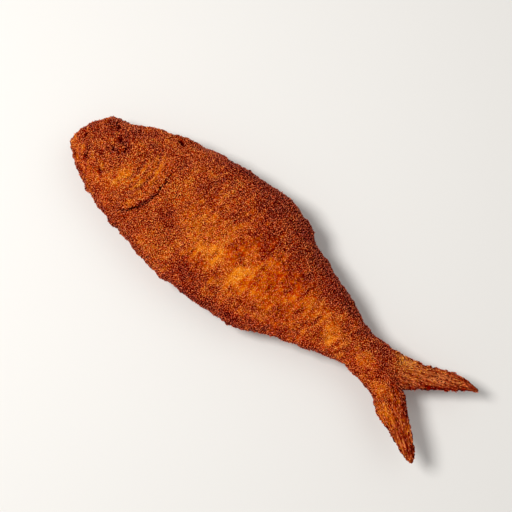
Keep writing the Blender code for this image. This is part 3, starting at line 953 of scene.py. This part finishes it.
def crust_material(settings):
    """Fried semolina batter: oil-wet, golden where thin, red-brown to black where it caught and where
    painted shade darkens it.
    """
    material = bpy.data.materials.new("fried semolina batter")
    material.use_nodes = True
    tree = material.node_tree
    shader = tree.nodes["Principled BSDF"]
    place = add_node(tree, "ShaderNodeTexCoord").outputs["Object"]
    browning, speckle, tail_share, bare_share, redness = (
        add_node(tree, "ShaderNodeAttribute", attribute_name=name).outputs["Fac"]
        for name in ("browning", "speckle", "tail", "bare", "redness")
    )
    # Specks half a millimetre across, the finest that a picture of the whole fish shows.
    specks = add_node(
        tree, "ShaderNodeTexNoise",
        {"Vector": place, "Scale": 1.0 / (0.9 * MM), "Detail": 2.0, "Roughness": 0.6},
    ).outputs["Fac"]
    # The fin rays are lines half a millimetre wide and a centimetre or so long.
    ray_place = add_node(
        tree, "ShaderNodeAttribute", attribute_name="ray_place",
    ).outputs["Vector"]
    drawn_out = add_node(
        tree, "ShaderNodeVectorMath", {0: ray_place, 1: (0.08, 1.1, 1.0)}, operation="MULTIPLY",
    ).outputs[0]
    rays = add_node(
        tree, "ShaderNodeTexNoise", {"Vector": drawn_out, "Scale": 1.0, "Detail": 2.0},
    ).outputs["Fac"]
    specks_about_zero, rays_about_zero = (
        add_node(tree, "ShaderNodeMath", {0: value, 1: 0.5}, operation="SUBTRACT").outputs[0]
        for value in (specks, rays)
    )
    speckled = add_node(
        tree, "ShaderNodeMath", {0: specks_about_zero, 1: speckle, 2: browning},
        operation="MULTIPLY_ADD",
    ).outputs[0]
    tail_rays = add_node(
        tree, "ShaderNodeMath", {0: rays_about_zero, 1: tail_share}, operation="MULTIPLY",
    ).outputs[0]
    # Painted shade between the fin rays, where they lie lower.
    tone = add_node(
        tree, "ShaderNodeMath", {0: tail_rays, 1: RAY_GROOVE_SHADE, 2: speckled},
        operation="MULTIPLY_ADD", use_clamp=True,
    ).outputs[0]
    crust_colour = add_node(
        tree, "ShaderNodeValToRGB", {"Fac": tone},
        stops=(
            (0.05, settings.golden), (0.35, settings.orange),
            (0.62, settings.browned), (1.0, settings.darkest),
        ),
    ).outputs["Color"]
    fin_colour = add_node(
        tree, "ShaderNodeValToRGB", {"Fac": tone},
        stops=(
            (0.10, settings.fin_light), (0.50, settings.fin_brown), (0.90, settings.browned),
        ),
    ).outputs["Color"]
    crust_or_fin = add_node(
        tree, "ShaderNodeMix", {"Factor": bare_share, "A": crust_colour, "B": fin_colour},
        data_type="RGBA",
    )
    reddened = add_node(
        tree, "ShaderNodeMix",
        {"Factor": redness, "A": output_of(crust_or_fin, "Result"), "B": REDDENING},
        data_type="RGBA", blend_type="MULTIPLY",
    )
    tree.links.new(output_of(reddened, "Result"), shader.inputs["Base Color"])
    height = add_node(
        tree, "ShaderNodeMath", {0: tail_rays, 1: RAY_BUMP, 2: specks}, operation="MULTIPLY_ADD",
    ).outputs[0]
    bump = add_node(
        tree, "ShaderNodeBump", {"Height": height, "Strength": 0.5, "Distance": 0.2 * MM},
    )
    tree.links.new(bump.outputs["Normal"], shader.inputs["Normal"])
    shader.inputs["Roughness"].default_value = 0.5
    shader.inputs["IOR"].default_value = 1.47
    shader.inputs["Specular IOR Level"].default_value = 0.0
    return material


def grain_material(kind):
    """Semolina: hard, glassy, angular grains, gold when lightly fried, brown when well fried."""
    material = bpy.data.materials.new(f"fried semolina, {kind.name}")
    material.use_nodes = True
    tree = material.node_tree
    shader = tree.nodes["Principled BSDF"]
    browning, grit, tone, redness = (
        add_node(tree, "ShaderNodeAttribute", attribute_name=name).outputs["Fac"]
        for name in ("browning", "grit", "tone", "redness")
    )
    # Each grain is a little lighter or darker than its place, and more so where it is brown.
    usual = add_node(
        tree, "ShaderNodeMath", {0: grit, 1: kind.in_grit, 2: browning},
        operation="MULTIPLY_ADD",
    ).outputs[0]
    tone_strength = add_node(
        tree, "ShaderNodeMath", {0: browning, 1: TONE_STRENGTH}, operation="MULTIPLY",
    ).outputs[0]
    shade = add_node(
        tree, "ShaderNodeMath", {0: tone, 1: tone_strength, 2: usual},
        operation="MULTIPLY_ADD",
    ).outputs[0]
    colour = add_node(
        tree, "ShaderNodeValToRGB", {"Fac": shade},
        stops=(
            (GOLDEN_AT, linear(kind.golden)), (BROWNED_AT, linear(kind.browned)),
            (SCORCHED_AT, linear(kind.scorched)),
        ),
    ).outputs["Color"]
    reddened = add_node(
        tree, "ShaderNodeMix", {"Factor": redness, "A": colour, "B": REDDENING},
        data_type="RGBA", blend_type="MULTIPLY",
    )
    tree.links.new(output_of(reddened, "Result"), shader.inputs["Base Color"])
    shader.inputs["Roughness"].default_value = kind.roughness
    shader.inputs["IOR"].default_value = 1.5
    shader.inputs["Specular IOR Level"].default_value = kind.shine
    return material


def grain_nodes(kind, settings, seed):
    """Nodes that scatter one kind of grain over the crust and give each one its own shape."""
    tree = bpy.data.node_groups.new(f"scatter {kind.name} grains", "GeometryNodeTree")
    tree.interface.new_socket("Geometry", in_out="INPUT", socket_type="NodeSocketGeometry")
    tree.interface.new_socket("Geometry", in_out="OUTPUT", socket_type="NodeSocketGeometry")
    start = add_node(tree, "NodeGroupInput")

    browning, coating, tail_share, number, ray_way, cell_place = (
        output_of(
            add_node(
                tree, "GeometryNodeInputNamedAttribute", {"Name": name}, data_type=kind_of_data,
            ),
            "Attribute",
        )
        for name, kind_of_data in (
            ("browning", "FLOAT"), ("coating", "FLOAT"), ("tail", "FLOAT"), ("grain", "FLOAT"),
            ("ray_way", "FLOAT_VECTOR"), ("OFBake", "FLOAT_VECTOR"),
        )
    )
    corner_reach = settings.roughness
    any_side, tilt_x, tilt_y, size, tone, stray = (
        output_of(
            add_node(
                tree, "FunctionNodeRandomValue",
                {"Min": low, "Max": high, "Seed": seed + 1 + draw},
                data_type="FLOAT_VECTOR" if isinstance(low, tuple) else "FLOAT",
            ),
            "Value",
        )
        for draw, (low, high) in enumerate((
            (-1.0, 1.0),
            (-kind.tilt, kind.tilt),
            (-kind.tilt, kind.tilt),
            (
                ((1.0 - LENGTH_SPREAD) * kind.length, NARROWEST, NARROWEST),
                ((1.0 + LENGTH_SPREAD) * kind.length, 1.0, 1.0),
            ),
            (-1.0, 1.0),
            ((-corner_reach,) * 3, (corner_reach,) * 3),
        ))
    )

    # Fewer of the darker grains lie where the crust is golden.
    share = add_node(
        tree, "ShaderNodeMapRange",
        {
            "Value": browning, "From Min": GOLDEN_AT, "From Max": BROWNED_AT,
            "To Min": kind.in_gold, "To Max": 1.0,
        },
    ).outputs["Result"]
    density = add_node(
        tree, "ShaderNodeMath", {0: coating, 1: share}, operation="MULTIPLY",
    ).outputs[0]
    spread = add_node(
        tree, "GeometryNodeDistributePointsOnFaces",
        {
            "Mesh": start.outputs[0], "Distance Min": kind.spacing * MM,
            "Density Max": TRIED_GRAINS / (kind.spacing * MM) ** 2, "Density Factor": density,
            "Seed": seed,
        },
        distribute_method="POISSON",
    )
    lift = add_node(
        tree, "ShaderNodeVectorMath", {0: spread.outputs["Normal"], "Scale": kind.lift * MM},
        operation="SCALE",
    )
    lifted = add_node(
        tree, "GeometryNodeSetPosition",
        {"Geometry": spread.outputs["Points"], "Offset": lift.outputs[0]},
    )

    grain = add_node(
        tree, "GeometryNodeMeshUVSphere",
        {"Radius": settings.radius * kind.width, "Segments": 4, "Rings": 2},
    )
    grain_map = add_node(
        tree, "GeometryNodeStoreNamedAttribute",
        {"Geometry": grain.outputs["Mesh"], "Name": "OFBake", "Value": grain.outputs["UV Map"]},
        data_type="FLOAT2", domain="CORNER",
    )
    # A grain is longer than wide and lies a little tilted. On the body it is turned any way,
    # and on the tail it lies along the rays.
    along_rays = add_node(
        tree, "FunctionNodeAlignRotationToVector",
        {
            "Rotation": spread.outputs["Rotation"], "Factor": tail_share, "Vector": ray_way,
        },
        axis="X", pivot_axis="Z",
    ).outputs[0]
    any_turn = add_node(
        tree, "ShaderNodeMapRange",
        {
            "Value": tail_share, "From Min": 0.0, "From Max": 1.0,
            "To Min": math.pi, "To Max": TURN_ON_TAIL,
        },
    ).outputs["Result"]
    around = add_node(
        tree, "ShaderNodeMath", {0: any_turn, 1: any_side}, operation="MULTIPLY",
    ).outputs[0]
    turn = add_node(
        tree, "ShaderNodeCombineXYZ", {"X": tilt_x, "Y": tilt_y, "Z": around},
    ).outputs[0]
    turned = add_node(
        tree, "FunctionNodeRotateRotation",
        {
            "Rotation": along_rays,
            "Rotate By": add_node(tree, "FunctionNodeEulerToRotation", {0: turn}).outputs[0],
        },
        rotation_space="LOCAL",
    )
    grains = add_node(
        tree, "GeometryNodeInstanceOnPoints",
        {
            "Points": lifted.outputs[0], "Instance": grain_map.outputs[0],
            "Rotation": turned.outputs[0], "Scale": size,
        },
    )
    toned = add_node(
        tree, "GeometryNodeStoreNamedAttribute",
        {"Geometry": grains.outputs[0], "Name": "tone", "Value": tone},
        data_type="FLOAT", domain="INSTANCE",
    )
    numbered = add_node(
        tree, "GeometryNodeStoreNamedAttribute",
        {
            "Geometry": toned.outputs[0], "Name": "grain",
            "Value": add_node(tree, "GeometryNodeInputIndex").outputs[0],
        },
        data_type="FLOAT", domain="INSTANCE",
    )
    made_real = add_node(tree, "GeometryNodeRealizeInstances", {"Geometry": numbered.outputs[0]})

    # Each corner strays by itself, so that no two grains are alike.
    shaped = add_node(
        tree, "GeometryNodeSetPosition", {"Geometry": made_real.outputs[0], "Offset": stray},
    )

    # The bake map gives each grain its own cell of a square grid.
    count = add_node(
        tree, "GeometryNodeAttributeDomainSize", {"Geometry": numbered.outputs[0]},
        component="INSTANCES",
    )
    root = add_node(
        tree, "ShaderNodeMath", {0: count.outputs["Instance Count"]}, operation="SQRT",
    )
    cells = add_node(tree, "ShaderNodeMath", {0: root.outputs[0]}, operation="CEIL").outputs[0]
    column = add_node(tree, "ShaderNodeMath", {0: number, 1: cells}, operation="MODULO")
    row_share = add_node(tree, "ShaderNodeMath", {0: number, 1: cells}, operation="DIVIDE")
    row = add_node(tree, "ShaderNodeMath", {0: row_share.outputs[0]}, operation="FLOOR")
    cell = add_node(
        tree, "ShaderNodeCombineXYZ", {"X": column.outputs[0], "Y": row.outputs[0]},
    )
    placed = add_node(
        tree, "ShaderNodeVectorMath",
        {0: cell_place, 1: cell.outputs[0]}, operation="ADD",
    )
    one_cell = add_node(tree, "ShaderNodeMath", {0: 1.0, 1: cells}, operation="DIVIDE")
    fitted = add_node(
        tree, "ShaderNodeVectorMath", {0: placed.outputs[0], "Scale": one_cell.outputs[0]},
        operation="SCALE",
    )
    mapped = add_node(
        tree, "GeometryNodeStoreNamedAttribute",
        {"Geometry": shaped.outputs[0], "Name": "OFBake", "Value": fitted.outputs[0]},
        data_type="FLOAT2", domain="CORNER",
    )
    cleared = add_node(
        tree, "GeometryNodeRemoveAttribute", {"Geometry": mapped.outputs[0], "Name": "grain"},
    )
    faceted = add_node(
        tree, "GeometryNodeSetShadeSmooth",
        {"Geometry": cleared.outputs[0], "Shade Smooth": False},
    )
    add_node(tree, "NodeGroupOutput", {0: faceted.outputs[0]})
    return tree


def rest_on_floor(mesh):
    """Presses whatever reaches below the floor up to it."""
    places = vertex_values(mesh, "co", 3)
    places[:, 2] = np.maximum(places[:, 2], 0.0)
    mesh.vertices.foreach_set("co", places.astype(np.float32).ravel())
    mesh.update()


class LADYFISH_OT_crust(bpy.types.Operator):
    """Make the fried crust from the fish's solid"""

    bl_idname = "ladyfish.crust"
    bl_label = "Crust"

    def execute(self, context):
        settings = context.scene.ladyfish_crust
        crust = solid_copy("fried_crust")
        apply_modifier(crust, "Even Faces", "REMESH", mode="VOXEL", voxel_size=settings.mesh_size)
        apply_modifier(crust, "Smooth", "SMOOTH", factor=0.5, iterations=settings.smoothing)

        smooth_places = vertex_values(crust.data, "co", 3)
        smooth_normals = vertex_values(crust.data, "normal", 3)
        crusted = crust.vertex_groups.new(name="crusted")
        x, y = fish_plan(smooth_places)
        # Crags and clumps are highest on the steep edges and lowest on the bare fin, and the
        # gill slit has none.
        steep = smoothstep(*CRAG_STEEPNESS, steepness(smooth_normals))
        covered = FLAT_CRAGS + (1.0 - FLAT_CRAGS) * steep
        covered *= (1.0 - BARE_FIN_LEVELLING * bare_fin(x, y)) * (1.0 - gill_slit(x, y))
        for index, value in enumerate(covered):
            crusted.add([index], float(value), "REPLACE")
        for name, spacing, height in (
            ("crags", settings.crag_spacing, settings.crag_height),
            ("clumps", settings.clump_spacing, settings.clump_height),
        ):
            apply_modifier(
                crust, name, "DISPLACE", texture=clouds(name, spacing), strength=height,
                texture_coords="LOCAL", vertex_group="crusted",
            )
        crust.vertex_groups.clear()

        places = vertex_values(crust.data, "co", 3)
        rises = np.sum((places - smooth_places) * smooth_normals, axis=1) / MM
        browning = browning_and_shade_of(smooth_places, smooth_normals, rises)
        grit = grit_of(x, y)
        for name, values in (
            ("browning", browning),
            ("coating", coating_of(smooth_places)),
            ("redness", redness_of(x, y)),
            ("grit", grit),
            ("speckle", SPECKLE * browning * (1.0 + GRIT_SPECKLE * grit)),
            ("tail", tail(x)),
            ("bare", bare_fin(x, y)),
            ("ray_place", in_plan(*ray_places(x, y))),
            ("ray_way", ray_ways(x, y)),
        ):
            store_values(crust.data, name, values)
        heights = fine_relief(smooth_places, smooth_normals)
        places += vertex_values(crust.data, "normal", 3) * heights[:, None] * MM
        crust.data.vertices.foreach_set("co", places.astype(np.float32).ravel())
        rest_on_floor(crust.data)
        make_active(crust)
        bpy.ops.object.shade_smooth()
        crust.data.materials.append(crust_material(settings))
        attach(crust, BODY)
        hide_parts(SOLID)
        return {"FINISHED"}


class LADYFISH_OT_grains(bpy.types.Operator):
    """Scatter the five kinds of semolina grain over the crust"""

    bl_idname = "ladyfish.grains"
    bl_label = "Semolina Grains"

    def execute(self, context):
        settings = context.scene.ladyfish_grains
        crust = bpy.data.objects["fried_crust"]
        for number, kind in enumerate(GRAIN_KINDS):
            name = f"semolina_{kind.name}"
            piece = bpy.data.objects.new(name, crust.data.copy())
            piece.data.name = name
            piece.data.materials.clear()
            context.scene.collection.objects.link(piece)
            nodes = grain_nodes(kind, settings, settings.seed + 10 * number)
            apply_modifier(piece, "Scatter", "NODES", node_group=nodes)
            rest_on_floor(piece.data)
            piece.data.materials.clear()
            piece.data.materials.append(grain_material(kind))
            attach(piece, BODY)
        return {"FINISHED"}


def plain_material(name, colour, roughness):
    material = bpy.data.materials.new(name)
    material.use_nodes = True
    shader = material.node_tree.nodes["Principled BSDF"]
    shader.inputs["Base Color"].default_value = (*colour, 1.0)
    shader.inputs["Roughness"].default_value = roughness
    return material


class LADYFISH_OT_stage(bpy.types.Operator):
    """Add the floor, the lights and the camera"""

    bl_idname = "ladyfish.stage"
    bl_label = "Stage"

    def execute(self, context):
        settings = context.scene.ladyfish_stage
        deselect_all()
        bpy.ops.mesh.primitive_plane_add(size=settings.floor_size, location=(0.0, 0.0, -0.02 * MM))
        floor = context.object
        floor.name = "floor"
        bpy.ops.object.transform_apply(location=True)
        floor.data.materials.append(plain_material("matt paper", settings.floor_colour, 0.8))

        turn = math.radians(PICTURE_TURN)
        right = Vector((math.cos(turn), math.sin(turn), 0.0))
        up = Vector((-math.sin(turn), math.cos(turn), 0.0))
        overhead = Vector((0.0, 0.0, 1.0))
        target = Vector(PICTURE_CENTRE) * MM
        for name, way, distance, size, power in (
            ("key", -0.55 * right + 0.10 * up + 1.0 * overhead, 0.8, 0.3, settings.key_power),
            ("fill", 0.6 * right + 0.2 * up + 1.0 * overhead, 0.9, 0.8, settings.fill_power),
        ):
            bpy.ops.object.light_add(type="AREA", location=target + distance * way.normalized())
            light = context.object
            light.name = name
            light.data.shape = "DISK"
            light.data.size = size
            light.data.energy = power
            light.rotation_euler = way.to_track_quat("Z", "Y").to_euler()

        world = bpy.data.worlds.new("studio")
        world.use_nodes = True
        background = world.node_tree.nodes["Background"]
        background.inputs["Color"].default_value = (1.0, 1.0, 1.0, 1.0)
        background.inputs["Strength"].default_value = settings.room_light
        context.scene.world = world

        tilt = math.radians(CAMERA_TILT)
        back = math.cos(tilt) * overhead - math.sin(tilt) * up
        distance = LENS / SENSOR * PICTURE_WIDTH * MM
        bpy.ops.object.camera_add(location=target + distance * back)
        camera = context.object
        camera.data.lens = LENS
        camera.data.sensor_width = SENSOR
        toward_up = back.cross(right)
        camera.rotation_euler = Matrix((right, toward_up, back)).transposed().to_euler()
        context.scene.camera = camera
        context.scene.view_settings.view_transform = "Standard"
        return {"FINISHED"}


class LADYFISH_PT_panel(bpy.types.Panel):
    """Lists the fish's pieces and the stage"""

    bl_idname = "LADYFISH_PT_panel"
    bl_label = "Fried Ladyfish"
    bl_space_type = "VIEW_3D"
    bl_region_type = "UI"
    bl_category = "Ladyfish"

    def draw(self, context):
        for operator, group in PIECES:
            self.layout.operator(operator.bl_idname)
            settings = getattr(context.scene, group)
            for name in settings.bl_rna.properties.keys():
                if name not in ("rna_type", "name"):
                    self.layout.prop(settings, name)


GROUPS = {
    "ladyfish_crust": CrustSettings,
    "ladyfish_grains": GrainSettings,
    "ladyfish_stage": StageSettings,
}
PIECES = (
    (LADYFISH_OT_crust, "ladyfish_crust"),
    (LADYFISH_OT_grains, "ladyfish_grains"),
    (LADYFISH_OT_stage, "ladyfish_stage"),
)
CLASSES = (*GROUPS.values(), *(operator for operator, _ in PIECES), LADYFISH_PT_panel)


def register():
    for cls in CLASSES:
        bpy.utils.register_class(cls)
    for name, group in GROUPS.items():
        setattr(bpy.types.Scene, name, PointerProperty(type=group))


def unregister():
    for name in GROUPS:
        delattr(bpy.types.Scene, name)
    for cls in reversed(CLASSES):
        bpy.utils.unregister_class(cls)


def main():
    register()
    bpy.ops.ladyfish.crust()
    bpy.ops.ladyfish.grains()
    bpy.ops.ladyfish.stage()


if __name__ == "__main__":
    main()
